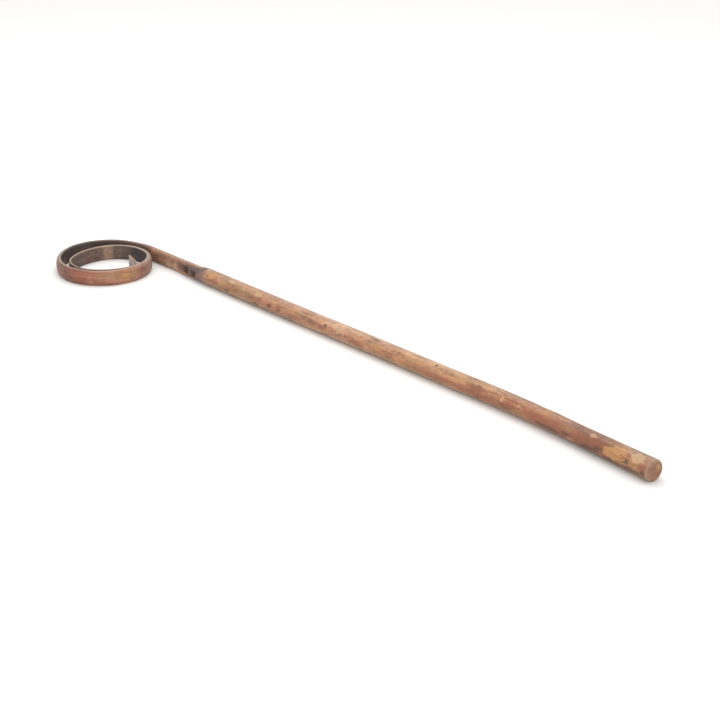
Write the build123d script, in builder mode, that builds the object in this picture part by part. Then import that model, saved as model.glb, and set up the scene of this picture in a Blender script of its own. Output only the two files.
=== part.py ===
"""A boat hook made of wood: a long round pole with a coiled bentwood crook riveted to its head.

Millimetres. The hook lies on its side on a flat surface: +Z is up, +X runs along the pole towards the
butt, and the origin is on that surface, under the middle of the whole hook.
"""
from build123d import *
import os
from math import cos, pi, radians, sin

os.makedirs("parts", exist_ok=True)

# ---- driving dimensions -------------------------------------------------------------------------

# The pole. Distances along it are counted from its shoulder, where the whittled head begins.
pole_girths = [
    (0, 16.0),
    (280, 15.6),
    (560, 15.6),
    (726, 15.8),
    (776, 15.8),
    (826, 15.7),
    (876, 15.7),
    (926, 15.8),
    (970, 15.9),
    (1045, 17.0),
    (1123, 18.1),
]
pole_length = pole_girths[-1][0]
head_radius = pole_girths[0][1]
butt_radius = pole_girths[-1][1]
butt_rounding = 3.5

# The pole is straight, then sweeps gently to one side, and is straight again up to its butt.
sweep_start = 726
sweep_length = 200
sweep_angle = 4.6

# The head of the pole is cut away on one side to a tongue, and the crook is lapped into the cut.
shoulder_length = 18
tongue_length = 86
tongue_tip_height = 20
tongue_tip_thickness = 1.6

# The crook is one strip of bentwood, flat inside and round-backed outside, like a rod that was split.
# Its thickness is given after so many degrees of coiling.
strip_height = 30
strip_thickness = [
    (0, 12.0),
    (60, 12.0),
    (120, 11.0),
    (360, 12.5),
    (450, 9.0),
    (500, 5.5),
    (640, 5.0),
    (703, 3.6),
]
strip_outer_side = 6
coil_start = -179
tip_straight = 48

# Bends of the strip's outer face, one after another: radius, and degrees turned.
coil_bends = [
    (173, 26),
    (95, 90),
    (107, 43),
    (97, 114),
    (87, 48),
    (76, 120),
    (104, 43),
    (62, 93),
    (101, 51),
    (19, 75),
]
face_step = 12

# The back is worked rounder on the first turn, which is thick, than on the second.
first_turn_bends = 5
back_rounding = {"first": 7, "second": 2}
inner_edge_rounding = 0.7

# Two iron rivets go through the lap, each with a round head and a square rove.
rivet_stations = {"front": -62, "rear": -36}
rivet_seats = {"front": 1.6, "rear": 4.6}
shank_radius = 2.4
hole_radius = 2.45
head_width = 12
head_rise = 2.4
rove_side = 12
rove_thickness = 2
clench_radius = 3.6
clench_rise = 1.5
dome_share = 0.8
rove_seat_radius = 9
rove_corner = 1.2
rove_chamfer = 0.5

# Two wooden pegs, driven from inside the eye, pin the turns where they touch.
peg_turns = {"front": 572, "side": 610}
peg_radius = 2.5
peg_clearance = 0.03
peg_depth = 10.5
peg_chamfer = 0.4

# ---- plan of the crook --------------------------------------------------------------------------


def thickness_after(turned):
    """Thickness of the strip after so many degrees of coiling."""
    for (turn_a, thick_a), (turn_b, thick_b) in zip(strip_thickness, strip_thickness[1:]):
        if turned <= turn_b:
            return thick_a + (thick_b - thick_a) * (turned - turn_a) / (turn_b - turn_a)
    return strip_thickness[-1][1]


def outer_face_at(turned):
    """Point on the outer face of the coil, and the heading there, after so many degrees of coiling."""
    point = Vector(coil_start, strip_outer_side)
    heading = 180.0
    for radius, angle in coil_bends:
        step = min(angle, turned)
        inwards = Vector(0, 1).rotate(Axis.Z, heading)
        point = point + inwards * radius - inwards.rotate(Axis.Z, step) * radius
        heading += step
        turned -= step
        if turned <= 0:
            break
    return point, heading


def inner_face_at(turned):
    """Point on the inner face of the coil after so many degrees of coiling."""
    point, heading = outer_face_at(turned)
    return point + Vector(0, 1).rotate(Axis.Z, heading) * thickness_after(turned)


def along_inner_face(turned):
    """Direction of the inner face of the coil after so many degrees of coiling."""
    return (inner_face_at(turned + 0.5) - inner_face_at(turned - 0.5)).normalized()


coil_turn = sum(angle for radius, angle in coil_bends)
split_turn = sum(angle for radius, angle in coil_bends[:first_turn_bends])
tip_outer, tip_heading = outer_face_at(coil_turn)
tip_along = Vector(1, 0).rotate(Axis.Z, tip_heading)
tip_run = tip_along * tip_straight
tip_inner = inner_face_at(coil_turn)
tail_thickness = strip_thickness[0][1]
strip_inner_side = strip_outer_side - tail_thickness


def inner_face_points(from_turn, to_turn):
    """Points on the inner face, evenly spaced by degrees of coiling."""
    count = round((to_turn - from_turn) / face_step)
    return [inner_face_at(from_turn + (to_turn - from_turn) * i / count) for i in range(count + 1)]


with BuildSketch() as first_turn:
    inner_points = inner_face_points(0, split_turn)
    with BuildLine():
        outer = Line((-shoulder_length, strip_outer_side), (coil_start, strip_outer_side))
        for radius, angle in coil_bends[:first_turn_bends]:
            outer = JernArc(outer @ 1, outer % 1, radius, angle)
        Line(outer @ 1, inner_points[-1])
        Spline(*inner_points, tangents=[(-1, 0), along_inner_face(split_turn)], tangent_scalars=[1, 1])
        Line((coil_start, strip_inner_side), (-shoulder_length, strip_inner_side))
        Line((-shoulder_length, strip_inner_side), (-shoulder_length, strip_outer_side))
    make_face()

with BuildSketch() as second_turn:
    inner_points = inner_face_points(split_turn, coil_turn)
    start, heading = outer_face_at(split_turn)
    with BuildLine():
        end, tangent = start, Vector(1, 0).rotate(Axis.Z, heading)
        for radius, angle in coil_bends[first_turn_bends:]:
            outer = JernArc(end, tangent, radius, angle)
            end, tangent = outer @ 1, outer % 1
        Line(end, end + tip_run)
        Line(tip_outer + tip_run, tip_inner + tip_run)
        Line(tip_inner + tip_run, tip_inner)
        Spline(*inner_points, tangents=[along_inner_face(split_turn), tip_along], tangent_scalars=[1, 1])
        Line(inner_points[0], start)
    make_face()

# ---- the frame: shift the pole's shoulder so that the origin is under the middle of the box -----

with BuildLine() as pole_route:
    straight = Line((0, 0), (sweep_start, 0))
    sweep = JernArc(straight @ 1, straight % 1, 180 * sweep_length / (pi * sweep_angle), -sweep_angle)
    Line(sweep @ 1, sweep @ 1 + (sweep % 1) * (pole_length - sweep_start - sweep_length))
pole_axis = pole_route.wire()
butt_centre = pole_axis @ 1
butt_reach = butt_centre.X + (butt_radius - butt_rounding) * sin(radians(sweep_angle))

plan_box = first_turn.sketch.bounding_box()
shoulder_x = -(plan_box.min.X + butt_reach) / 2
shoulder_y = -(plan_box.min.Y + head_radius) / 2
shoulder = Plane((shoulder_x, shoulder_y, 0))


def pole_section(distance):
    """Plane across the pole at a distance from the shoulder, with its x axis pointing up."""
    on_route = pole_axis.position_at(distance, PositionMode.LENGTH)
    along = pole_axis.tangent_at(distance, PositionMode.LENGTH)
    height = head_radius + (butt_radius - head_radius) * distance / pole_length
    return Plane((shoulder_x + on_route.X, shoulder_y + on_route.Y, height), x_dir=(0, 0, 1), z_dir=along)


# ---- pole ---------------------------------------------------------------------------------------

tongue_side = -strip_inner_side + tongue_tip_thickness
tongue_tip = Plane((shoulder_x - tongue_length, shoulder_y, strip_height / 2), x_dir=(0, 0, 1), z_dir=(1, 0, 0))
clear_of_pole = 2 * head_radius

with BuildPart() as pole:
    # the shaft, round all along
    for distance, radius in pole_girths:
        with BuildSketch(pole_section(distance)):
            Circle(radius)
    loft(ruled=True)
    fillet(pole.faces().sort_by(Axis.X)[-1].edges(), butt_rounding)
    # the tongue, whittled down towards the coil
    with BuildSketch(pole_section(0)):
        Circle(head_radius)
    with BuildSketch(tongue_tip):
        Ellipse(tongue_tip_height / 2, tongue_side)
    loft()
    # the lap and its sloping shoulder, cut from above
    with BuildSketch(shoulder):
        with BuildLine():
            Polyline(
                (0, head_radius),
                (-shoulder_length, strip_outer_side),
                (-shoulder_length, strip_inner_side),
                (-tongue_length - 1, strip_inner_side),
                (-tongue_length - 1, clear_of_pole),
                (0, clear_of_pole),
                close=True,
            )
        make_face()
    extrude(amount=clear_of_pole + 1, mode=Mode.SUBTRACT)
    # the slope on top of the shoulder, cut from the side
    with BuildSketch(Plane((shoulder_x, shoulder_y, 0), x_dir=(1, 0, 0), z_dir=(0, -1, 0))):
        with BuildLine():
            Polyline(
                (0, 2 * head_radius),
                (-shoulder_length, strip_height),
                (-tongue_length - 1, strip_height),
                (-tongue_length - 1, 2 * clear_of_pole),
                (0, 2 * clear_of_pole),
                close=True,
            )
        make_face()
    extrude(amount=clear_of_pole, both=True, mode=Mode.SUBTRACT)
    # rivet holes, each with a flat seat for its rove
    for end, station in rivet_stations.items():
        seat_y = shoulder_y + strip_inner_side - rivet_seats[end]
        seat = Plane((shoulder_x + station, seat_y, strip_height / 2), x_dir=(1, 0, 0), z_dir=(0, -1, 0))
        with BuildSketch(seat):
            Circle(rove_seat_radius)
        extrude(amount=clear_of_pole, mode=Mode.SUBTRACT)
        with BuildSketch(seat):
            Circle(hole_radius)
        extrude(amount=-clear_of_pole, mode=Mode.SUBTRACT)
pole.part.label = "pole"
export_step(pole.part, "parts/pole.step")

# ---- crook --------------------------------------------------------------------------------------


def peg_seat(turned):
    """Plane at a peg's inner end, flush with the inner face of the coil, its z axis pointing outwards."""
    on_face = inner_face_at(turned)
    point, heading = outer_face_at(turned)
    outwards = Vector(0, -1).rotate(Axis.Z, heading)
    return Plane((shoulder_x + on_face.X, shoulder_y + on_face.Y, strip_height / 2), z_dir=outwards)


def is_on_a_rim(edge):
    """Whether an edge lies in the top or the underside of the strip."""
    return abs(edge.center().Z - strip_height / 2) > strip_height / 2 - 0.1


def turn_of_strip(plan, rounding):
    """One turn of the strip, with its back and its inner edges rounded."""
    with BuildPart() as turn:
        with BuildSketch(shoulder):
            add(plan.sketch)
        extrude(amount=strip_height)
        fillet(turn.edges().filter_by(is_on_a_rim).filter_by(GeomType.CIRCLE), rounding)
        inner_edges = turn.edges().filter_by(is_on_a_rim).filter_by(GeomType.BSPLINE)
        fillet(inner_edges.sort_by(Edge.length)[-2:], inner_edge_rounding)
    return turn.part


with BuildPart() as crook:
    add(turn_of_strip(first_turn, back_rounding["first"]))
    add(turn_of_strip(second_turn, back_rounding["second"]))
    for end, station in rivet_stations.items():
        with BuildSketch(Plane((shoulder_x + station, shoulder_y, strip_height / 2), z_dir=(0, -1, 0))):
            Circle(hole_radius)
        extrude(amount=clear_of_pole, both=True, mode=Mode.SUBTRACT)
    for end, turned in peg_turns.items():
        with BuildSketch(peg_seat(turned).offset(-1)):
            Circle(peg_radius)
        extrude(amount=peg_depth + 1, mode=Mode.SUBTRACT)
crook.part.label = "crook"
export_step(crook.part, "parts/crook.step")

# ---- rivets and roves through the lap -----------------------------------------------------------

for end, station in rivet_stations.items():
    centre = (shoulder_x + station, shoulder_y, strip_height / 2)
    head_seat = Plane(centre, x_dir=(1, 0, 0), z_dir=(0, 1, 0)).offset(strip_outer_side)
    rove_seat = Plane(centre, x_dir=(1, 0, 0), z_dir=(0, -1, 0)).offset(-strip_inner_side + rivet_seats[end])

    with BuildPart() as rivet:
        with BuildSketch(head_seat):
            Circle(head_width / 2)
        extrude(amount=head_rise)
        fillet(rivet.edges().sort_by(Axis.Y)[-1], dome_share * head_rise)
        with BuildSketch(rove_seat.offset(rove_thickness)):
            Circle(clench_radius)
        extrude(amount=clench_rise)
        fillet(rivet.edges().sort_by(Axis.Y)[0], dome_share * clench_rise)
        with BuildSketch(head_seat):
            Circle(shank_radius)
        extrude(amount=-(tail_thickness + rivet_seats[end] + rove_thickness))
    rivet.part.label = "rivet_" + end
    export_step(rivet.part, "parts/rivet_" + end + ".step")

    with BuildPart() as rove:
        with BuildSketch(rove_seat):
            RectangleRounded(rove_side, rove_side, rove_corner)
            Circle(hole_radius, mode=Mode.SUBTRACT)
        extrude(amount=rove_thickness)
        chamfer(rove.faces().sort_by(Axis.Y)[0].outer_wire().edges(), rove_chamfer)
    rove.part.label = "rove_" + end
    export_step(rove.part, "parts/rove_" + end + ".step")

# ---- pegs through the touching turns ------------------------------------------------------------

for end, turned in peg_turns.items():
    seat = peg_seat(turned)
    with BuildPart() as peg:
        with BuildSketch(seat):
            Circle(peg_radius - peg_clearance)
        extrude(amount=peg_depth)
        driven_end = peg.edges().filter_by(GeomType.CIRCLE).sort_by(Axis(seat.origin, seat.z_dir))[-1]
        chamfer(driven_end, peg_chamfer)
    peg.part.label = "peg_" + end
    export_step(peg.part, "parts/peg_" + end + ".step")

# ---- what a reader of the record needs ----------------------------------------------------------

flat_radius = butt_radius - butt_rounding
eye_centre = (inner_face_at(540) + inner_face_at(360)) * 0.5
print("crook valid", crook.part.is_valid, "solids", len(crook.part.solids()), "pole valid", pole.part.is_valid)
print("shoulder", shoulder_x, shoulder_y)
print("butt face centre", shoulder_x + butt_centre.X, shoulder_y + butt_centre.Y, butt_radius)
print("butt normal", cos(radians(sweep_angle)), -sin(radians(sweep_angle)), "flat radius", flat_radius)
print("middle of the eye", shoulder_x + eye_centre.X, shoulder_y + eye_centre.Y)
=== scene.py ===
# %% [markdown]
# # A wooden boat hook
#
# The real thing is two sticks and a little iron. The pole is a round hardwood shaft, thicker at the
# butt. The crook is a strip of split wood that was steamed and wound about two turns into a flat, closed
# eye. The pole's head is cut to a tongue, the crook's tail lies in the cut, and two forged rivets clench
# them together over square roves.
#
# This lesson loads the measured frame, builds the pole and the crook again with a hand-worked surface,
# gives each one a finish that follows its grain, and sets up a plain studio.

import random
from math import atan2, cos, degrees, exp, hypot, pi, radians, sin

import bmesh
import bpy
from mathutils import Matrix, Vector, noise


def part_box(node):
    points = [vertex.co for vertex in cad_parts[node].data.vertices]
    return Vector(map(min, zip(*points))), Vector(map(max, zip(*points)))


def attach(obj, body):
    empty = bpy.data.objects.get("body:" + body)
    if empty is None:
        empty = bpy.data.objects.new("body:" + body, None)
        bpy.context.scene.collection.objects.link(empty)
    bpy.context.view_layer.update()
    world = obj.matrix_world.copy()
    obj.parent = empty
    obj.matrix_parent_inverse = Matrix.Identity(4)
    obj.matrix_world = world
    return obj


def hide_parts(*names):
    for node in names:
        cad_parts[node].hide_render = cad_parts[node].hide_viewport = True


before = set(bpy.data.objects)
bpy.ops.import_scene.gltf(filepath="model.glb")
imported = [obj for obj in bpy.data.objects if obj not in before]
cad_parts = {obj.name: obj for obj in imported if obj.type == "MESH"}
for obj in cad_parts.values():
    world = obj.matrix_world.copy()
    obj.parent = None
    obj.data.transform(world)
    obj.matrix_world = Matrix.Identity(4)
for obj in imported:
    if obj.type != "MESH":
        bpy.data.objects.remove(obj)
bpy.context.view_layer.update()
MM = 0.001
BODY = "root"
print("frame nodes:", sorted(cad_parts))

# %% [markdown]
# ## Where things are
#
# Everything is placed from the pole's shoulder, the point where its round shaft ends and the whittled
# head begins. The crook's tail stops a little before it, so the crook's box gives the shoulder's place.
# Distances along the pole are counted from there, towards the butt, in millimetres. Sideways, the strip's
# rounded outer face and its flat inner face lie at equal distances from the pole's middle.

# %% Find the shoulder and repeat the design's main sizes
HEAD_RADIUS = 16
SHOULDER_SLOPE = 18
TONGUE_LENGTH = 86
STRIP_HEIGHT = 30
STRIP_OUTER_SIDE = 6
STRIP_INNER_SIDE = -6

crook_low, crook_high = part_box("crook")
shoulder = Vector((crook_high.x / MM + SHOULDER_SLOPE, crook_high.y / MM - STRIP_OUTER_SIDE, 0))
print("shoulder in mm:", [round(v, 2) for v in shoulder])

# %% [markdown]
# ## Three small helpers
#
# A worn stick changes all the time, so most of its sizes and colours are lists of stops with a value
# between them. Edges of marks rise smoothly, and everything made by hand hums a little, which smooth
# noise gives. The noise has no seed to set: it gives the same value at the same place in every run.


# %% Values between stops, smooth steps and unevenness
def between(stops, x):
    """Value at x on a line through (x, value) stops; a value may be a number or a vector."""
    if x <= stops[0][0]:
        return stops[0][1]
    for (x_a, a), (x_b, b) in zip(stops, stops[1:]):
        if x <= x_b:
            return a + (b - a) * ((x - x_a) / (x_b - x_a))
    return stops[-1][1]


def ease(low, high, x):
    """Rise smoothly from 0 at low to 1 at high."""
    t = min(max((x - low) / (high - low), 0), 1)
    return t * t * (3 - 2 * t)


def hum(x, y, z=0.0):
    """Smooth repeatable unevenness, about -1 to 1."""
    return noise.noise(Vector((x, y, z)))


# %% [markdown]
# ## Colours that follow the wood
#
# A worn stick has no single colour. Its tone drifts along its length, iron has stained the lap, bark scars
# have left pale patches, and light and shade are painted on as well, darker low on the sides. Painting
# that by hand on an image would work, but a colour kept on the mesh's own points follows any shape, needs
# no image, and can be written down as a short list of tones. The fine grain is left to the material.


# %% Turn hex colours into linear light
def linear(hex_colour):
    """Linear red, green and blue of an sRGB hex colour."""
    shares = [int(hex_colour[i : i + 2], 16) / 255 for i in (1, 3, 5)]
    return Vector([s / 12.92 if s <= 0.04045 else ((s + 0.055) / 1.055) ** 2.4 for s in shares])


def rgba(hex_colour):
    """Linear colour with full alpha."""
    return (*linear(hex_colour), 1)


def tones(*stops):
    """Stops of (place, hex colour) as stops of (place, linear colour)."""
    return [(place, linear(colour)) for place, colour in stops]


# %% [markdown]
# The pole's tones are given by distance from the shoulder. The tongue, below 0, is grey-brown from the
# iron, the shaft is honey brown, and a dark ruddy stretch lies before the paler butt. Each tone is then
# tinted by the angle from the pole's ridge, which paints light and shade on: a painted reflection greys
# the ridge, painted shade makes the sides darker downwards, and the belly is paler and cooler again.

# %% Tones of the pole
POLE_TONES = tones(
    (-88, "#745447"), (-62, "#6A4C42"), (-40, "#705C54"), (-22, "#746059"), (-4, "#84695D"),
    (4, "#B08467"), (80, "#B78B6A"), (220, "#B98868"), (370, "#C69576"), (520, "#C39270"),
    (670, "#C3906A"), (800, "#B68462"), (900, "#B27C5C"), (990, "#90604A"), (1030, "#9A6A4A"),
    (1060, "#AC7A56"), (1095, "#B88A66"), (1123, "#9C6E52"),
)
# Painted light and shade by angle from the ridge: a multiplier on the tone for each angle.
POLE_PAINTED_LIGHT = [
    (0, Vector((0.94, 1.12, 1.28))), (12, Vector((0.92, 1.05, 1.18))), (32, Vector((0.95, 0.99, 1.0))),
    (57, Vector((0.92, 0.87, 0.81))), (82, Vector((0.77, 0.66, 0.59))), (105, Vector((0.73, 0.71, 0.69))),
    (125, Vector((0.86, 0.98, 1.06))), (180, Vector((0.80, 0.90, 0.95))),
]
# The tongue is whittled flat, so its painted light and shade are nearly even all round.
TONGUE_PAINTED_LIGHT = Vector((0.96, 0.90, 0.92))
TONGUE_EVENNESS = 0.7
BUTT_FACE_TONE = linear("#A06E4C")
print("tones on the pole:", len(POLE_TONES))

# %% [markdown]
# The crook's tones are given by degrees coiled. Its rounded outside is handled and terracotta brown, and
# greyer where the first turn is furthest from the pole. Its flat inside was never touched and is nearly
# black, with grime and with shade painted in where it faces into the coil, apart from a pale patch on the
# second turn and the thinner tip, which is painted paler where light reaches it.

# %% Tones of the crook
CROOK_OUTSIDE = tones(
    (0, "#A07A64"), (25, "#86685A"), (60, "#66534A"), (100, "#6C5B52"), (125, "#84766B"),
    (152, "#867A6F"), (165, "#806454"), (182, "#7E5341"), (200, "#905A45"), (225, "#A06D57"),
    (246, "#AA7A62"), (260, "#AE7A54"), (274, "#A2745F"), (292, "#9C7563"), (306, "#96786A"),
    (330, "#7F6658"), (500, "#6E5A4E"), (703, "#8A7468"),
)
# The inside's dark tones are grime with shade painted in where it faces into the coil; the tip's tones are
# painted paler where light reaches it.
CROOK_INSIDE_GRIME_AND_SHADE = tones(
    (0, "#A67E66"), (3, "#866455"), (10, "#6A5146"), (25, "#5A483E"), (55, "#51433B"),
    (85, "#53463F"), (105, "#463B37"), (125, "#332B2A"), (150, "#2C2524"), (317, "#38302F"),
    (372, "#3C3333"), (388, "#5E4E46"), (414, "#6B584E"), (421, "#9C7E6E"), (431, "#A08272"),
    (436, "#785F56"), (460, "#6C5650"), (485, "#584A47"), (560, "#54463F"), (650, "#8A7870"),
    (703, "#A3928A"),
)
print("tones outside the coil:", len(CROOK_OUTSIDE), "inside:", len(CROOK_INSIDE_GRIME_AND_SHADE))

# %% [markdown]
# ## A tube to carve
#
# Both wooden pieces start as a plain tube: a circle extruded ring by ring. The tube is then carved, by
# moving each of its points to where the real surface is. A tube was chosen because its rings give every
# point an address, a distance along the wood and an angle round it, and both the shape and the grain
# can be written in those terms. Smaller rings past each end close the tube without a hole.

# %% Make the tube
CAP_RINGS = (0.94, 0.8, 0.6, 0.35)


def grow_ring(bm, edges):
    """Extrude a ring of edges in place; return the new ring's edges and points."""
    grown = bmesh.ops.extrude_edge_only(bm, edges=edges)["geom"]
    ring = [item for item in grown if isinstance(item, bmesh.types.BMEdge)]
    points = [item for item in grown if isinstance(item, bmesh.types.BMVert)]
    return ring, points


def tube(stations, segments):
    """A tube of unit radius along X with a ring at each station, closed at both ends."""
    bm = bmesh.new()
    across = Matrix.Rotation(pi / 2, 4, "Y")
    points = bmesh.ops.create_circle(bm, radius=1, segments=segments, matrix=across)["verts"]
    bmesh.ops.translate(bm, verts=points, vec=(stations[0], 0, 0))
    start = list(bm.edges)
    end = start
    for here, there in zip(stations, stations[1:]):
        end, points = grow_ring(bm, end)
        bmesh.ops.translate(bm, verts=points, vec=(there - here, 0, 0))
    for ring in (start, end):
        reach = 1.0
        for size in CAP_RINGS:
            ring, points = grow_ring(bm, ring)
            bmesh.ops.scale(bm, verts=points, vec=(1, size / reach, size / reach))
            reach = size
        bmesh.ops.pointmerge(bm, verts=points, merge_co=(points[0].co.x, 0, 0))
    return bm


# %% [markdown]
# Each point of the tube also keeps what its finish needs: its place in the grain, its tone, with light and
# shade painted in, and how strongly each kind of mark shows there. A scar is a patch of pale wood where
# bark came off late, cream is wood bleached by wear, bark is what was left on, ruddy and olive are drifts
# of hue, stain is iron's blue-brown mark, rub and highlight is a paler edge, worn on the pole's butt and a
# painted highlight on the crook's top rim, and end is sawn end grain.

# %% Keep the grain, the tone and the marks on the points
KINDS = ("scar", "cream", "bark", "ruddy", "olive", "stain", "rub_and_highlight", "end")


def add_layers(bm):
    """The point layers for the grain's place, the tone and the kinds of mark."""
    grain = bm.verts.layers.float_vector.new("grain")
    tone = bm.verts.layers.float_color.new("tone")
    marks = {kind: bm.verts.layers.float.new(kind) for kind in KINDS}
    return grain, tone, marks


def finish_mesh(bm, name, nodes):
    """Turn a carved tube, in millimetres, into a smooth piece that rides with the frame."""
    bmesh.ops.scale(bm, verts=bm.verts, vec=(MM, MM, MM))
    bmesh.ops.recalc_face_normals(bm, faces=bm.faces)
    mesh = bpy.data.meshes.new(name)
    bm.to_mesh(mesh)
    bm.free()
    for face in mesh.polygons:
        face.use_smooth = True
    piece = bpy.data.objects.new(name, mesh)
    bpy.context.scene.collection.objects.link(piece)
    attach(piece, BODY)
    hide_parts(*nodes)
    size = [round(v / MM, 1) for v in piece.dimensions]
    print(name, "has", len(mesh.vertices), "points; box in mm:", size)
    return piece


# %% [markdown]
# ## The pole's shape
#
# The shaft is a natural stick that was shaved round: 32 mm thick at the head, a little less in the middle
# and 36 mm at the butt. It is straight for two thirds of its length and then sweeps gently aside, and it
# wanders by a millimetre or two, as every stick does. Its line is an arc between two straights, with the
# wandering added as a smoothed list of stops.

# %% Describe the pole's line and girth
POLE_LENGTH = 1123
GIRTH = [
    (0, 16.0), (280, 15.6), (560, 15.6), (776, 15.8), (876, 15.7), (970, 15.9), (1045, 17.0), (1123, 18.1),
]
SWEEP_START = 726
SWEEP_LENGTH = 200
SWEEP_ANGLE = radians(4.6)
SWEEP_RADIUS = SWEEP_LENGTH / SWEEP_ANGLE
BOW = [
    (0, 0.0), (120, -1.2), (240, -1.9), (360, -1.8), (450, -0.9), (560, -1.2), (700, -1.6), (800, -1.0),
    (900, 0.0),
]
BOW_SMOOTHING = (-40, -20, 0, 20, 40)


def pole_line(along):
    """Centre of the pole and its heading, so far along it."""
    swept = min(max((along - SWEEP_START) / SWEEP_RADIUS, 0), SWEEP_ANGLE)
    rest = max(along - SWEEP_START - SWEEP_LENGTH, 0)
    x = min(along, SWEEP_START) + SWEEP_RADIUS * sin(swept) + rest * cos(SWEEP_ANGLE)
    y = -SWEEP_RADIUS * (1 - cos(swept)) - rest * sin(SWEEP_ANGLE)
    if along > 0:
        y += sum(between(BOW, along + reach) for reach in BOW_SMOOTHING) / len(BOW_SMOOTHING)
    rise = (GIRTH[-1][1] - HEAD_RADIUS) * max(along, 0) / POLE_LENGTH
    return Vector((x, y, HEAD_RADIUS + rise)), -swept


# %% [markdown]
# The drawknife left long shallow flats and a faint ripple, knots stand slightly proud with a small pit
# in the middle, and the butt's edge is worn round. All of them change the radius alone, so they are
# summed into one radius for each distance and angle.

# %% Describe the shaved surface
FLAT_DEPTH = 0.32
FLAT_LENGTH = 210
RIPPLE_DEPTH = 0.16
RIPPLE_LENGTH = 34
BUTT_ROUNDING = 3.5
BUTT_UNEVENNESS = 0.25
# Knots: place along the pole, angle from its ridge, radius of the knot and how proud it stands.
KNOTS = [
    (362, 62, 3.0, 0.5), (196, 88, 2.6, 0.3), (214, 92, 2.4, 0.3), (640, 20, 4.0, 0.5),
    (505, 160, 4.5, 0.6), (905, -40, 5.0, 0.6), (120, -95, 4.0, 0.5), (742, 118, 3.5, 0.4),
    (1012, 84, 3.5, 0.35),
]
KNOT_SWELL_ALONG = 2.2
KNOT_SWELL_ACROSS = 1.6
KNOT_REACH = 2.5
KNOT_PIT = 0.9


def around(angle, other):
    """Smallest turn between two angles in degrees."""
    return (angle - other + 180) % 360 - 180


def knot_rise(along, arc, size, proud):
    """Height of a knot at a point so far from its centre, along the pole and round it."""
    gap = hypot(along / (KNOT_SWELL_ALONG * size), arc / (KNOT_SWELL_ACROSS * size))
    if gap >= KNOT_REACH:
        return 0
    pit = hypot(along, arc) / size
    return proud * (exp(-gap * gap) - KNOT_PIT * exp(-9 * pit * pit))


def pole_radius(along, angle):
    """Radius of the shaved and worn surface."""
    turn = radians(angle)
    radius = between(GIRTH, along)
    radius += FLAT_DEPTH * hum(along / FLAT_LENGTH, 1.3 * cos(turn) + 5, 1.3 * sin(turn))
    radius += RIPPLE_DEPTH * hum(along / RIPPLE_LENGTH, 2.4 * cos(turn), 2.4 * sin(turn) + 9)
    for place, side, size, proud in KNOTS:
        arc = radians(around(angle, side)) * radius
        radius += knot_rise(along - place, arc, size, proud)
    past = (along - POLE_LENGTH + BUTT_ROUNDING) / BUTT_ROUNDING
    if past > 0:
        wear = BUTT_ROUNDING * (1 + BUTT_UNEVENNESS * hum(3 * cos(turn), 3 * sin(turn), 4))
        radius -= wear * (1 - (1 - min(past, 1) ** 2) ** 0.5)
    return radius


# %% [markdown]
# ## The whittled head
#
# The last 86 mm of the pole is a tongue. The far side of the stick is cut away down to the flat face that
# the crook's tail lies against, with a slanted shoulder where the cut begins, and the near side tapers
# to a blunt tip. Two shallow round seats let the roves in. An ellipse that shrinks towards the tip gives
# the rounded near side, and points past the cut are moved back on to it, so the cut comes out flat.

# %% Describe the tongue
TONGUE_WIDTHS = [(0, 16.0), (1, 7.6)]
TONGUE_HEIGHTS = [(0, 16.0), (1, 10.0)]
TIP_START = 0.93
TIP_BLUNTING = 0.35
WIDTH_UNEVENNESS = 0.15
HEIGHT_UNEVENNESS = 0.3
# Rivets: place along the pole, and thickness of the wood left under the rove's seat.
RIVETS = [(-62, 1.6), (-36, 4.6)]
SEAT_FLOOR_RADIUS = 8
SEAT_RIM_RADIUS = 9.6


def tongue_point(along, rho, angle):
    """Place of a tongue point, sideways and upwards from the pole's centre line."""
    turn = radians(angle)
    share = -along / TONGUE_LENGTH
    blunt = 1 - TIP_BLUNTING * ease(TIP_START, 1, share)
    wide = between(TONGUE_WIDTHS, share) + WIDTH_UNEVENNESS * hum(along / 20, 3 * turn)
    wide *= 1 - TIP_BLUNTING * (1 - blunt)
    tall = between(TONGUE_HEIGHTS, share) + HEIGHT_UNEVENNESS * hum(along / 26, 2 * turn, 3)
    tall *= blunt
    slope = max(1 + along / SHOULDER_SLOPE, 0)
    cut = STRIP_INNER_SIDE
    if slope > 0:
        cut = STRIP_OUTER_SIDE + (HEAD_RADIUS - STRIP_OUTER_SIDE) * slope
    side = -wide * sin(turn)
    up = tall * cos(turn)
    if side > cut:
        reach = tall * max(1 - (cut / wide) ** 2, 0) ** 0.5
        side = cut
        up = min(max(up, -reach), reach)
    middle = min(cut, 0) - 1
    side = middle + (side - middle) * rho
    rise = share * (STRIP_HEIGHT / 2 - HEAD_RADIUS)
    top = STRIP_HEIGHT - HEAD_RADIUS + (2 * HEAD_RADIUS - STRIP_HEIGHT) * slope
    up = min(up * rho + rise, top)
    for station, depth in RIVETS:
        gap = hypot(along - station, up + HEAD_RADIUS - STRIP_HEIGHT / 2)
        seat = 1 - ease(SEAT_FLOOR_RADIUS, SEAT_RIM_RADIUS, gap)
        side = max(side, side + (STRIP_INNER_SIDE - depth - side) * seat)
    return side, up


# %% Carve the pole
END_DISHING = 0.5
END_UNEVENNESS = 0.25


def carve_pole(along, rho, angle):
    """Place of a tube point on the pole, and its place in the grain; rho is under 1 on the two ends."""
    centre, heading = pole_line(along)
    if along < 0:
        side, up = tongue_point(along, rho, angle)
    else:
        radius = pole_radius(along, angle) * rho
        side = -radius * sin(radians(angle))
        up = radius * cos(radians(angle))
    shift = 0
    if rho < 1 and along > 0:
        shift = END_UNEVENNESS * hum(side / 5, up / 5, 2) - END_DISHING * (1 - rho)
    out = Vector((shift, side, up))
    out.rotate(Matrix.Rotation(heading, 3, "Z"))
    return shoulder + centre + out, Vector((along + shift, side, up))


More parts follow.
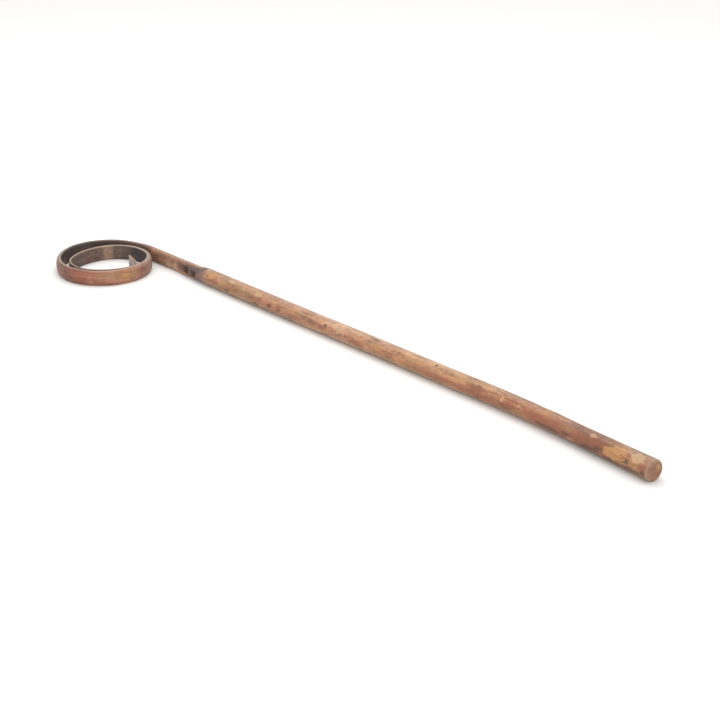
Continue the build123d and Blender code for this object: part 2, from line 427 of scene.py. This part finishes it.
# %% [markdown]
# Rings stand closer together on the tongue, at the step of its shoulder and on the butt's worn edge,
# where the shape changes fast, and further apart on the plain shaft.

# %% Place the pole's rings
TONGUE_RING_GAP = 1.5
TONGUE_RINGS = 46
SHOULDER_RING_GAP = 2
SHAFT_RING_GAP = 2.5
EDGE_RINGS = 8


def pole_stations():
    """Ring places along the pole, from the tongue's tip to the butt."""
    places = [-TONGUE_LENGTH + TONGUE_RING_GAP * i for i in range(TONGUE_RINGS)]
    places += [-SHOULDER_SLOPE - 0.1, -SHOULDER_SLOPE + 0.1]
    places += list(range(-SHOULDER_SLOPE + SHOULDER_RING_GAP, 0, SHOULDER_RING_GAP))
    rounding = POLE_LENGTH - BUTT_ROUNDING
    while places[-1] < rounding - SHAFT_RING_GAP - 0.1:
        places.append(places[-1] + SHAFT_RING_GAP)
    places += [rounding + BUTT_ROUNDING * sin(pi / 2 * i / (EDGE_RINGS - 1)) for i in range(EDGE_RINGS)]
    return places


print("rings on the pole:", len(pole_stations()))

# %% [markdown]
# ## Marks on the wood
#
# A mark is a ragged oval: its strength is 1 in the middle and falls to 0 past an edge that noise pushes
# in and out. The large marks are placed one by one, and many small ones are scattered from a seed, so
# they fall in the same places in every run.


# %% Shape a mark and scatter small ones
COARSE_RAGGEDNESS = 0.55
FINE_RAGGEDNESS = 0.35
MARK_CORE = 0.5
MARK_EDGE = 1.15
# Least and greatest half length and half width of a small mark.
SMALL_LENGTHS = (3, 14)
SMALL_WIDTHS = (1.5, 4.5)


def spot(along, place, arc, length, width):
    """How far a point is inside a ragged mark at place, from 0 outside to 1 in the middle."""
    ragged = 1 + COARSE_RAGGEDNESS * hum(along / 8, arc / 6, place)
    ragged += FINE_RAGGEDNESS * hum(along / 3, arc / 2.5, place)
    gap = hypot((along - place) / length, arc / width)
    return 1 - ease(MARK_CORE, MARK_EDGE, gap * ragged)


def scatter(seed, count, kinds, length, faces, levels):
    """Small repeatable marks: kind, place, face, level, half length and half width."""
    chance = random.Random(seed)
    marks = []
    for _ in range(count):
        place = chance.uniform(*length)
        level = chance.uniform(*levels)
        long = chance.uniform(*SMALL_LENGTHS)
        wide = chance.uniform(*SMALL_WIDTHS)
        kind = chance.choice(kinds)
        face = chance.choice(faces)
        marks.append((kind, place, face, level, long, wide))
    return marks


# %% Place the pole's marks
# Each mark: place along the pole, angle from its ridge, half length and half width.
POLE_MARKS = {
    "scar": [
        (1050, 66, 22, 11), (1058, 40, 16, 7), (1074, 88, 10, 5), (1040, 84, 12, 5), (1060, 200, 26, 12),
        (1095, 250, 14, 8), (24, 44, 14, 9), (217, 43, 8, 4),
    ],
    "cream": [
        (1094, 40, 13, 9), (1098, 20, 10, 6), (1000, 28, 9, 5), (402, 52, 15, 8), (385, 40, 5, 8),
        (799, 56, 3, 9), (168, 40, 12, 6), (86, 30, 10, 5),
    ],
    "bark": [
        (1112, 100, 7, 5), (1086, 116, 30, 5), (1045, 116, 20, 4), (1079, 78, 4, 4), (76, 104, 11, 5),
        (163, 112, 14, 4), (363, 60, 5, 3.5), (204, 82, 7, 4), (233, 88, 5, 3), (1016, 84, 5, 4),
        (944, 92, 9, 4), (640, 20, 4, 3), (505, 160, 5, 4), (905, -40, 5, 4), (120, -95, 5, 4),
        (1030, 215, 16, 6), (742, 118, 5, 3), (1100, 300, 10, 6), (22, 88, 2, 2), (1000, 104, 24, 4),
        (905, 104, 34, 4),
    ],
    "ruddy": [
        (526, 78, 16, 6), (905, 76, 50, 12), (985, 76, 30, 11), (818, 83, 14, 7), (34, 78, 16, 6),
        (355, 80, 12, 6), (664, 98, 40, 6), (1012, 50, 18, 8), (905, 102, 110, 12), (745, 102, 80, 8),
        (1080, 62, 6, 10), (1110, 80, 9, 9), (231, 78, 9, 7), (210, 74, 6, 6), (450, 100, 30, 6),
        (280, 92, 24, 5), (740, 62, 26, 6), (985, 96, 40, 9), (640, 96, 60, 6),
    ],
    "olive": [
        (287, 52, 14, 6), (481, 60, 18, 6), (590, 46, 22, 7), (846, 98, 26, 5), (944, 60, 16, 6),
        (130, 70, 16, 6), (700, 40, 24, 6),
    ],
    "stain": [(-24, 40, 9, 11), (-21, 60, 7, 7), (-56, 60, 16, 14), (-70, 84, 14, 9), (-8, 22, 8, 8)],
}
SMALL_KINDS = ("scar", "cream", "bark", "ruddy", "olive", "ruddy", "olive")
for kind, place, face, level, long, wide in scatter(9, 110, SMALL_KINDS, (10, 1100), (0, 180), (-90, 90)):
    POLE_MARKS[kind].append((place, face + level, long * 0.9, wide * 0.7))
print("marks on the pole:", {kind: len(rows) for kind, rows in POLE_MARKS.items()})

# %% [markdown]
# Now the pole is built: each point of the tube is moved, and its tone and marks are noted at the same
# time. On the butt's face one paler patch sits off centre, as on a stick sawn through near a branch.

# %% Build the pole
POLE_SEGMENTS = 72
POLE_MARK_REACH = 1.3
EDGE_RUB = 0.45
EDGE_RUB_WIDTH = 5
EDGE_RUB_SETBACK = 2.5
# The butt face's pale patch: its middle, sideways and upwards, and its inner and outer radius.
PALE_SIDE = 6
PALE_UP = 4
PALE_CORE = 3
PALE_EDGE = 7


def pole_tone(along, angle):
    """Colour of the pole's side before its marks and grain, with light and shade painted on by angle."""
    tint = between(POLE_PAINTED_LIGHT, abs(angle))
    if along < 0:
        tint = tint.lerp(TONGUE_PAINTED_LIGHT, TONGUE_EVENNESS)
    return [tone * share for tone, share in zip(between(POLE_TONES, along), tint)]


def build_pole():
    """Carve the pole, and keep its grain, tone and marks on its points."""
    bm = tube(pole_stations(), POLE_SEGMENTS)
    grain, tone, marks = add_layers(bm)
    for vert in bm.verts:
        along = vert.co.x
        angle = degrees(atan2(-vert.co.y, vert.co.z))
        rho = min(hypot(vert.co.y, vert.co.z), 1)
        vert.co, local = carve_pole(along, rho, angle)
        vert[grain] = local * MM
        colour = pole_tone(along, angle)
        if along >= POLE_LENGTH and rho < 0.99:
            colour = BUTT_FACE_TONE
            vert[marks["end"]] = 1
            gap = hypot(local.y - PALE_SIDE, local.z - PALE_UP)
            vert[marks["scar"]] = 1 - ease(PALE_CORE, PALE_EDGE, gap)
        vert[tone] = (*colour, 1)
        for kind, rows in POLE_MARKS.items():
            for place, side, length, width in rows:
                if abs(along - place) < POLE_MARK_REACH * length:
                    arc = radians(around(angle, side)) * HEAD_RADIUS
                    inside = spot(along, place, arc, length, width)
                    vert[marks[kind]] = max(vert[marks[kind]], inside)
        if rho > 0.7:
            gap = abs(along - POLE_LENGTH + EDGE_RUB_SETBACK)
            vert[marks["rub_and_highlight"]] = EDGE_RUB * (1 - ease(0, EDGE_RUB_WIDTH, gap))
    return finish_mesh(bm, "Pole", ["pole"])


pole = build_pole()

# %% [markdown]
# ## The crook's line
#
# A strip bender works from a bend table: so far round at this radius, then so far at the next. The same
# table draws the coil here, along the strip's outer face. The neck runs straight from the lap, ten bends
# coil it almost twice round, and the tip runs straight into the eye.

# %% Work out the bend table
TAIL = -SHOULDER_SLOPE
COIL_START = -179
TIP_STRAIGHT = 48
# Bends: radius of the outer face, and degrees.
BENDS = [
    (173, 26), (95, 90), (107, 43), (97, 114), (87, 48), (76, 120), (104, 43), (62, 93), (101, 51),
    (19, 75),
]


def inwards(heading):
    """Direction to the inside of the coil, square to the heading."""
    return Vector((-sin(heading), cos(heading), 0))


def bend_table():
    """Distance, point, heading and degrees turned at the start of each stretch, and its radius."""
    point = Vector((TAIL, STRIP_OUTER_SIDE, 0))
    heading = pi
    turned = 0
    rows = [(0, point, heading, turned, None)]
    distance = TAIL - COIL_START
    point = Vector((COIL_START, STRIP_OUTER_SIDE, 0))
    for radius, angle in BENDS:
        rows.append((distance, point, heading, turned, radius))
        centre = point + inwards(heading) * radius
        heading += radians(angle)
        point = centre - inwards(heading) * radius
        distance += radius * radians(angle)
        turned += angle
    rows.append((distance, point, heading, turned, None))
    return rows, distance + TIP_STRAIGHT


TABLE, STRIP_LENGTH = bend_table()
print("strip length along its outer face in mm:", round(STRIP_LENGTH), "degrees coiled:", TABLE[-1][3])


# %% Follow the outer face
def outer_face(distance):
    """Point on the outer face, heading and degrees turned, so far along the strip."""
    start, point, heading, turned, radius = [row for row in TABLE if row[0] <= distance + 1e-6][-1]
    run = distance - start
    if radius is None:
        return point + Vector((cos(heading), sin(heading), 0)) * run, heading, turned
    centre = point + inwards(heading) * radius
    now = heading + run / radius
    return centre - inwards(now) * radius, now, turned + degrees(run / radius)


# %% [markdown]
# ## The strip's section
#
# The strip is flat inside, where it lay against the former, and rounded outside, where it keeps the round
# of the rod that it was split from. It thins from 12 mm at the neck to under 4 mm at the tip. A squared
# ellipse draws such a section with one number for each half: 2 is an ellipse, and 7 is nearly flat with
# small corners.

# %% Carve the crook
# Thickness, height and the outer face's squareness are given by degrees coiled. The inner face's is
# given by distance, since the neck is round in front of the lap.
THICKNESS = [
    (0, 12.0), (60, 12.0), (120, 11.0), (360, 12.5), (450, 9.0), (500, 5.5), (640, 5.0), (703, 3.6),
]
HEIGHT = [(0, 30.0), (520, 30.0), (703, 28.8)]
OUTER_SQUARENESS = [(0, 3.2), (30, 2.5), (300, 2.3), (440, 3.0), (703, 4.0)]
INNER_SQUARENESS = [(0, 7.0), (64, 7.0), (82, 2.8), (150, 2.8), (230, 6.0)]
THICKNESS_UNEVENNESS = 0.18
RIM_UNEVENNESS = 0.5
FACE_UNEVENNESS = 0.12
LIFT = 0.15


def section(phi, outer, inner):
    """Point of the section: share of its thickness from the inner face, and share of its height."""
    power = 2 / (outer if cos(phi) > 0 else inner)
    across = abs(cos(phi)) ** power * (1 if cos(phi) > 0 else -1)
    up = abs(sin(phi)) ** power * (1 if sin(phi) > 0 else -1)
    return (across + 1) / 2, (up + 1) / 2


def carve_crook(distance, rho, phi):
    """Place of a tube point on the strip, its place in the grain and the degrees turned there."""
    point, heading, turned = outer_face(distance)
    thickness = between(THICKNESS, turned) + THICKNESS_UNEVENNESS * hum(distance / 40, 7)
    height = between(HEIGHT, turned) + RIM_UNEVENNESS * (hum(distance / 55, 3) - 1)
    share, up = section(phi, between(OUTER_SQUARENESS, turned), between(INNER_SQUARENESS, distance))
    share = 0.5 + (share - 0.5) * rho
    up = 0.5 + (up - 0.5) * rho
    ragged = FACE_UNEVENNESS * hum(distance / 14, 3 * cos(phi), 3 * sin(phi))
    place = point + inwards(heading) * (thickness * (1 - share) + ragged)
    place.z = height * up + LIFT
    local = Vector((distance, thickness * share, place.z - STRIP_HEIGHT / 2))
    return shoulder + place, local, turned


# %% [markdown]
# The coil gets marks of the same kinds. The outside has ruddy, olive and barky drifts and one pale amber
# scar, the inside is mottled with grime, and the lap and the neck are stained by the rivets. A pale pink
# highlight is painted along the top rim, more on the inner turn than on the outer one.

# %% Place the crook's marks
OUTSIDE = 0
INSIDE = 1
# Each mark: kind, distance, face, height above the strip's middle, half length and half width.
CROOK_MARKS = [
    ("cream", 84, INSIDE, -3, 9, 7), ("cream", 104, INSIDE, -5, 12, 4), ("stain", 64, INSIDE, 3, 9, 11),
    ("stain", 36, INSIDE, 4, 20, 10), ("ruddy", 145, INSIDE, -8, 18, 5), ("stain", 40, OUTSIDE, 0, 26, 12),
    ("ruddy", 470, OUTSIDE, 2, 26, 9), ("bark", 452, OUTSIDE, 6, 9, 4), ("scar", 640, OUTSIDE, 3, 10, 5),
    ("olive", 610, OUTSIDE, 5, 20, 5), ("olive", 655, OUTSIDE, 2, 20, 8), ("olive", 430, OUTSIDE, 4, 18, 8),
    ("ruddy", 545, OUTSIDE, -4, 20, 6), ("ruddy", 585, OUTSIDE, -6, 16, 5),
]
OUTSIDE_KINDS = ("ruddy", "olive", "ruddy", "bark")
INSIDE_KINDS = ("olive", "bark", "ruddy", "bark", "ruddy")
CROOK_MARKS += scatter(5, 46, OUTSIDE_KINDS, (150, 1200), (OUTSIDE,), (-12, 12))
CROOK_MARKS += scatter(6, 64, INSIDE_KINDS, (230, 1200), (INSIDE,), (-12, 12))
# How strongly the painted highlight shows along the top rim, by degrees coiled.
RIM_HIGHLIGHT = [(0, 0.25), (100, 0.2), (150, 0.6), (330, 0.7), (380, 0.9), (703, 0.8)]
print("marks on the crook:", len(CROOK_MARKS))

# %% [markdown]
# The coil is carved from its own tube. The rings are two millimetres apart, so the tight curl at the
# tip stays round.

# %% Build the crook
CROOK_RING_GAP = 2
CROOK_SEGMENTS = 44
CROOK_MARK_REACH = 2.2


def build_crook():
    """Carve the crook, and keep its grain, tone and marks on its points."""
    count = round(STRIP_LENGTH / CROOK_RING_GAP)
    bm = tube([STRIP_LENGTH * i / count for i in range(count + 1)], CROOK_SEGMENTS)
    grain, tone, marks = add_layers(bm)
    for vert in bm.verts:
        distance = vert.co.x
        phi = atan2(vert.co.z, vert.co.y)
        rho = min(hypot(vert.co.y, vert.co.z), 1)
        vert.co, local, turned = carve_crook(distance, rho, phi)
        vert[grain] = local * MM
        # Inside the coil the tones carry grime and painted shade.
        inner = ease(0.02, 0.3, -cos(phi))
        colour = between(CROOK_OUTSIDE, turned).lerp(between(CROOK_INSIDE_GRIME_AND_SHADE, turned), inner)
        vert[tone] = (*colour, 1)
        # A pale highlight is painted along the top rim.
        rim = ease(0.86, 0.99, sin(phi)) * ease(-0.35, 0.1, -cos(phi))
        vert[marks["rub_and_highlight"]] = rim * between(RIM_HIGHLIGHT, turned)
        vert[marks["end"]] = 1 if rho < 0.9 else 0
        side = OUTSIDE if cos(phi) > 0 else INSIDE
        for kind, place, face, level, length, width in CROOK_MARKS:
            if face == side and abs(distance - place) < CROOK_MARK_REACH * length:
                inside = spot(distance, place, local.z - level, length, width)
                vert[marks[kind]] = max(vert[marks[kind]], inside)
    return finish_mesh(bm, "Crook", ["crook"])


crook = build_crook()

# %% [markdown]
# ## Building materials from nodes
#
# Every material below is a short chain of nodes, each made by the same small helper. It takes the kind
# of node, what goes into its sockets and its settings, and gives back the socket that comes out, so that
# the next node can take it.


# %% A helper that adds one node
def add(tree, kind, inputs, out=0, **settings):
    """Add a shader node and return an output; an input is a plain value or another node's output."""
    made = tree.nodes.new("ShaderNode" + kind)
    for name, value in settings.items():
        setattr(made, name, value)
    for socket, value in inputs.items():
        if isinstance(value, bpy.types.NodeSocket):
            tree.links.new(value, made.inputs[socket])
        else:
            made.inputs[socket].default_value = value
    return made.outputs[out] if made.outputs else None


def empty_material(name):
    """A new material and its node tree, with nothing in it."""
    material = bpy.data.materials.new(name)
    material.use_nodes = True
    material.node_tree.nodes.clear()
    return material, material.node_tree


# The numbers of a colour Mix node's sockets: its factor, its two colours and its result.
FACTOR = 0
FIRST = 6
SECOND = 7
MIXED = 2

# %% [markdown]
# ## Old bare wood
#
# The wood is a pale hardwood, such as ash, that was never varnished. Years of hands and water turned it
# brown, polished it to a soft sheen and filled its pores with dirt. Its pattern is worked out from the
# grain place kept on the points: fibres about 1 mm wide, streaks about 5 mm wide, and blotches the size
# of a thumb, all drawn out along the wood. Pores are finer in real wood, and are drawn 0.6 mm wide so
# that they show.

# %% Sizes of the grain's patterns
# Each pattern: length along the grain and width across it in mm, detail, and a shift to keep them apart.
WOOD_PATTERNS = {
    "fibre": (38, 0.9, 3.0, 0.0),
    "streak": (110, 4.5, 3.0, 3.7),
    "blotch": (42, 13, 4.0, 8.1),
    "drift": (90, 22, 2.0, 15.3),
    "speckle": (7, 4, 3.0, 30.4),
    "pore": (26, 0.6, 1.0, 21.0),
}
# How much each pattern lifts and lowers the tone, around its middle value of a half.
SHADE_WEIGHTS = {"fibre": 0.5, "streak": 0.7, "blotch": 0.9, "speckle": 0.6}
# Hue leanings, pink and olive: the tint, and where on the slow drift it starts and is full.
LEANINGS = [("#FFDCD2", 0.5, 0.9545), ("#E8E4A8", 0.48, 0.0633)]

# %% [markdown]
# Over the grain lie the marks that the points keep, in this order. Their edges are broken up by the
# speckle, softly for a drift of hue and sharply for bark and scars.

# %% Colours of the marks
# Each mark: kind, softness of its edge, strength, the pattern in it, and its dark and light colours.
MARK_FINISHES = [
    ("ruddy", 0.35, 0.5, "streak", "#8A4E38", "#8A4E38"),
    ("olive", 0.35, 0.35, "streak", "#94794A", "#94794A"),
    ("scar", 0.16, 0.7, "streak", "#A8703A", "#D2A468"),
    ("cream", 0.35, 0.5, "streak", "#C49C70", "#DCBC98"),
    ("stain", 0.35, 0.7, "fibre", "#4A3832", "#6E544C"),
    ("bark", 0.16, 0.8, "fibre", "#3E2820", "#6B4A38"),
]
EDGE_BREAKING = 1.1
EDGE_MIDDLE = 1.05
RUB_AND_HIGHLIGHT_STRENGTH = 0.6
RING_SPACING = 1.5 * MM
RING_WOBBLE = 9.0
RING_STRENGTH = 0.175
PORE_STRENGTH = 0.45
SHEEN_SPREAD = 0.25


# %% The wood's colour
# Settings of the two colour Mix nodes that the wood needs.
BLEND = {"out": MIXED, "data_type": "RGBA"}
TINT = {"out": MIXED, "data_type": "RGBA", "blend_type": "MULTIPLY"}


def wood_patterns(tree):
    """The grain's place, and its patterns as noise stretched along it."""
    place = add(tree, "Attribute", {}, out="Vector", attribute_name="grain")
    patterns = {}
    for name, (length, width, detail, shift) in WOOD_PATTERNS.items():
        size = (1 / (length * MM), 1 / (width * MM), 1 / (width * MM))
        moved = add(tree, "Mapping", {"Vector": place, "Scale": size, "Location": (shift, shift, shift)})
        texture = {"Vector": moved, "Scale": 1.0, "Detail": detail, "Roughness": 0.62}
        patterns[name] = add(tree, "TexNoise", texture)
    return place, patterns


def bare_wood(tree, patterns):
    """The tone kept on the points, shaded by the grain and leaning to pink or olive."""
    shade = 0.5 - sum(SHADE_WEIGHTS.values()) / 2
    for name, weight in SHADE_WEIGHTS.items():
        shade = add(tree, "Math", {0: patterns[name], 1: weight, 2: shade}, operation="MULTIPLY_ADD")
    shade_range = {"From Min": 0.2, "From Max": 0.8, "To Min": 0.44, "To Max": 1.36}
    level = add(tree, "MapRange", {"Value": shade, **shade_range})
    tone = add(tree, "Attribute", {}, out="Color", attribute_name="tone")
    colour = add(tree, "Mix", {FACTOR: 1.0, FIRST: tone, SECOND: level}, **TINT)
    for tint, start, full in LEANINGS:
        leaning = add(tree, "MapRange", {"Value": patterns["drift"], "From Min": start, "From Max": full})
        tinted = add(tree, "Mix", {FACTOR: 1.0, FIRST: colour, SECOND: rgba(tint)}, **TINT)
        colour = add(tree, "Mix", {FACTOR: leaning, FIRST: colour, SECOND: tinted}, **BLEND)
    return colour


# %% The marks' colours
def marked_wood(tree, patterns, colour):
    """The wood's colour with the marks laid over it, and each mark's mask."""
    masks = {}
    for kind, softness, strength, pattern, dark, light in MARK_FINISHES:
        here = add(tree, "Attribute", {}, out="Fac", attribute_name=kind)
        speckled = {0: patterns["speckle"], 1: EDGE_BREAKING, 2: here}
        broken = add(tree, "Math", speckled, operation="MULTIPLY_ADD")
        edge = {"Value": broken, "From Min": EDGE_MIDDLE - softness, "From Max": EDGE_MIDDLE + softness}
        masks[kind] = add(tree, "MapRange", edge, interpolation_type="SMOOTHSTEP")
        cover = add(tree, "Math", {0: masks[kind], 1: strength}, operation="MULTIPLY")
        finish = {FACTOR: patterns[pattern], FIRST: rgba(dark), SECOND: rgba(light)}
        finish = add(tree, "Mix", finish, **BLEND)
        colour = add(tree, "Mix", {FACTOR: cover, FIRST: colour, SECOND: finish}, **BLEND)
    return colour, masks


def worn_and_highlit_rims(tree, patterns, colour):
    """Paler edges: the pole's rubbed butt edge, and a highlight painted along the crook's top rim."""
    here = add(tree, "Attribute", {}, out="Fac", attribute_name="rub_and_highlight")
    cover = add(tree, "Math", {0: here, 1: RUB_AND_HIGHLIGHT_STRENGTH}, operation="MULTIPLY")
    # The same pale colour is wear on the pole's butt edge and a painted highlight on the crook's top rim.
    pale_edge = {FACTOR: patterns["streak"], FIRST: rgba("#B79A86"), SECOND: rgba("#D8BCA6")}
    pale_edge = add(tree, "Mix", pale_edge, **BLEND)
    return add(tree, "Mix", {FACTOR: cover, FIRST: colour, SECOND: pale_edge}, **BLEND)


# %% Sawn ends
def sawn_end(tree, patterns, colour, place):
    """Growth rings round the grain's middle, and dirt towards the worn edge, on sawn ends only."""
    here = add(tree, "Attribute", {}, out="Fac", attribute_name="end")
    across = add(tree, "VectorMath", {0: place, 1: (0, 1, 1)}, operation="MULTIPLY")
    radius = add(tree, "VectorMath", {0: across}, out="Value", operation="LENGTH")
    wobble = add(tree, "Math", {0: patterns["blotch"], 1: RING_WOBBLE}, operation="MULTIPLY")
    wave = add(tree, "Math", {0: radius, 1: 2 * pi / RING_SPACING, 2: wobble}, operation="MULTIPLY_ADD")
    wave = add(tree, "Math", {0: wave}, operation="SINE")
    rings = add(tree, "Math", {0: wave, 1: RING_STRENGTH, 2: RING_STRENGTH}, operation="MULTIPLY_ADD")
    worn = {"Value": radius, "From Min": 11 * MM, "From Max": 17 * MM, "To Max": 0.5}
    worn = add(tree, "MapRange", worn)
    for strength, dirt in ((rings, "#5E3C28"), (worn, "#6E5A50")):
        cover = add(tree, "Math", {0: here, 1: strength}, operation="MULTIPLY")
        colour = add(tree, "Mix", {FACTOR: cover, FIRST: colour, SECOND: rgba(dirt)}, **BLEND)
    return colour


# %% [markdown]
# The pattern is felt as well as seen: fibres and blotches stand up by a fraction of a millimetre, bark
# stands proud, and pores and scars lie lower. The sheen is a satin one, a little duller on the blotches.


# %% Put the wood together
def old_wood(name, roughness):
    """Unvarnished hardwood, handled for years: satin sheen, open grain, dirt in the pores."""
    material, tree = empty_material(name)
    place, patterns = wood_patterns(tree)
    colour = bare_wood(tree, patterns)
    colour, masks = marked_wood(tree, patterns, colour)
    colour = worn_and_highlit_rims(tree, patterns, colour)
    colour = sawn_end(tree, patterns, colour, place)
    pores = {"Value": patterns["pore"], "From Min": 0.64, "From Max": 0.74}
    pores = add(tree, "MapRange", pores, interpolation_type="SMOOTHSTEP")
    dirt = add(tree, "Math", {0: pores, 1: PORE_STRENGTH}, operation="MULTIPLY")
    colour = add(tree, "Mix", {FACTOR: dirt, FIRST: colour, SECOND: rgba("#4A3226")}, **BLEND)
    reliefs = [
        (patterns["fibre"], 0.5), (patterns["blotch"], 0.9), (pores, -0.5), (masks["scar"], -0.8),
        (masks["bark"], 0.9),
    ]
    height = 0.0
    for relief, weight in reliefs:
        height = add(tree, "Math", {0: relief, 1: weight, 2: height}, operation="MULTIPLY_ADD")
    bump = add(tree, "Bump", {"Height": height, "Strength": 0.7, "Distance": 0.5 * MM})
    sheen = {0: patterns["blotch"], 1: SHEEN_SPREAD, 2: roughness - SHEEN_SPREAD / 2}
    sheen = add(tree, "Math", sheen, operation="MULTIPLY_ADD")
    surface = add(tree, "BsdfPrincipled", {"Base Color": colour, "Roughness": sheen, "Normal": bump})
    add(tree, "OutputMaterial", {"Surface": surface})
    return material


pole.data.materials.append(old_wood("Handled bare ash", 0.52))
crook.data.materials.append(old_wood("Bentwood with grime and painted shade", 0.58))

# %% [markdown]
# ## Forged iron and riven pegs
#
# The rivets and roves are wrought iron that has rusted dark and been rubbed. Iron this old is more like
# a brown stone than a mirror: low shine, fine pits and a little orange in the hollows. The pegs are
# split from dry hardwood, and only their round ends can be seen, so they show the speckle of end grain.
# Both are the measured frame's own pieces, which keep their meshes, so their patterns are placed by
# Object coordinates.


# %% The iron
def forged_iron(name):
    """Dark rusted wrought iron: pits about 1 mm wide and rust in patches of about 4 mm."""
    material, tree = empty_material(name)
    place = add(tree, "TexCoord", {}, out="Object")
    pits = add(tree, "TexNoise", {"Vector": place, "Scale": 1 / (1.2 * MM), "Detail": 4.0})
    rust = add(tree, "TexNoise", {"Vector": place, "Scale": 1 / (4 * MM), "Detail": 3.0})
    colour = add(tree, "Mix", {FACTOR: rust, FIRST: rgba("#3A2F2B"), SECOND: rgba("#6E4E3E")}, **BLEND)
    bump = add(tree, "Bump", {"Height": pits, "Strength": 0.6, "Distance": 0.3 * MM})
    surface = {"Base Color": colour, "Roughness": 0.6, "Metallic": 0.6, "Normal": bump}
    surface = add(tree, "BsdfPrincipled", surface)
    add(tree, "OutputMaterial", {"Surface": surface})
    return material


# %% The pegs' wood
def riven_wood(name):
    """Split hardwood, dark with age: a fine speckle of end grain and a dry, dull surface."""
    material, tree = empty_material(name)
    place = add(tree, "TexCoord", {}, out="Object")
    pores = add(tree, "TexNoise", {"Vector": place, "Scale": 1 / (0.8 * MM), "Detail": 4.0})
    colour = add(tree, "Mix", {FACTOR: pores, FIRST: rgba("#3E2C20"), SECOND: rgba("#8A6A50")}, **BLEND)
    bump = add(tree, "Bump", {"Height": pores, "Strength": 0.4, "Distance": 0.2 * MM})
    surface = add(tree, "BsdfPrincipled", {"Base Color": colour, "Roughness": 0.7, "Normal": bump})
    add(tree, "OutputMaterial", {"Surface": surface})
    return material


# %% Finish the frame's own pieces
small_pieces = {
    forged_iron("Rusted wrought iron"): ("rivet_front", "rivet_rear", "rove_front", "rove_rear"),
    riven_wood("Riven peg wood"): ("peg_front", "peg_side"),
}
for material, names in small_pieces.items():
    for name in names:
        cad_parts[name].data.materials.clear()
        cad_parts[name].data.materials.append(material)
    print(material.name, "on", names)

# %% [markdown]
# ## The studio
#
# The hook lies on a pale floor in soft light from all sides, with a slightly stronger light above and to
# the left. The camera stands back and looks down a little, so the pole comes towards it.

# %% Floor and surround
floor_mesh = bpy.data.meshes.new("Floor")
bm = bmesh.new()
bmesh.ops.create_grid(bm, x_segments=1, y_segments=1, size=30)
bm.to_mesh(floor_mesh)
bm.free()
floor = bpy.data.objects.new("Floor", floor_mesh)
bpy.context.scene.collection.objects.link(floor)
paper, paper_tree = empty_material("Matte white paper")
paper_surface = add(paper_tree, "BsdfPrincipled", {"Base Color": rgba("#F4F3F1"), "Roughness": 0.9})
add(paper_tree, "OutputMaterial", {"Surface": paper_surface})
floor_mesh.materials.append(paper)

world = bpy.data.worlds.new("Soft white surround")
world.use_nodes = True
world.node_tree.nodes["Background"].inputs["Color"].default_value = (1, 1, 1, 1)
world.node_tree.nodes["Background"].inputs["Strength"].default_value = 1.0
bpy.context.scene.world = world
bpy.context.scene.view_settings.view_transform = "Standard"


# %% Soft lights
def softbox(name, place, size, watts):
    """A large square area light that faces the middle of the floor."""
    data = bpy.data.lights.new(name, "AREA")
    data.size = size
    data.energy = watts
    lamp = bpy.data.objects.new(name, data)
    lamp.location = place
    lamp.rotation_euler = (-Vector(place)).to_track_quat("-Z", "Y").to_euler()
    bpy.context.scene.collection.objects.link(lamp)


softbox("Overhead", (-0.6, 0.6, 2.4), 2.2, 26)
softbox("Fill", (1.8, -2.2, 1.6), 2.0, 8)

# %% Camera
CAMERA_AZIMUTH = radians(47.42)
CAMERA_ELEVATION = radians(23.30)
CAMERA_DISTANCE = 2.9555
LOOK_AT = Vector((0.0983, 0.0297, 0.016))

camera_data = bpy.data.cameras.new("Camera")
camera_data.sensor_width = 36
camera_data.lens = 85
camera = bpy.data.objects.new("Camera", camera_data)
level = cos(CAMERA_ELEVATION)
away = Vector((sin(CAMERA_AZIMUTH) * level, -cos(CAMERA_AZIMUTH) * level, sin(CAMERA_ELEVATION)))
camera.location = LOOK_AT + away * CAMERA_DISTANCE
camera.rotation_euler = (-away).to_track_quat("-Z", "Y").to_euler()
bpy.context.scene.collection.objects.link(camera)
bpy.context.scene.camera = camera
print("camera at:", [round(v, 3) for v in camera.location])
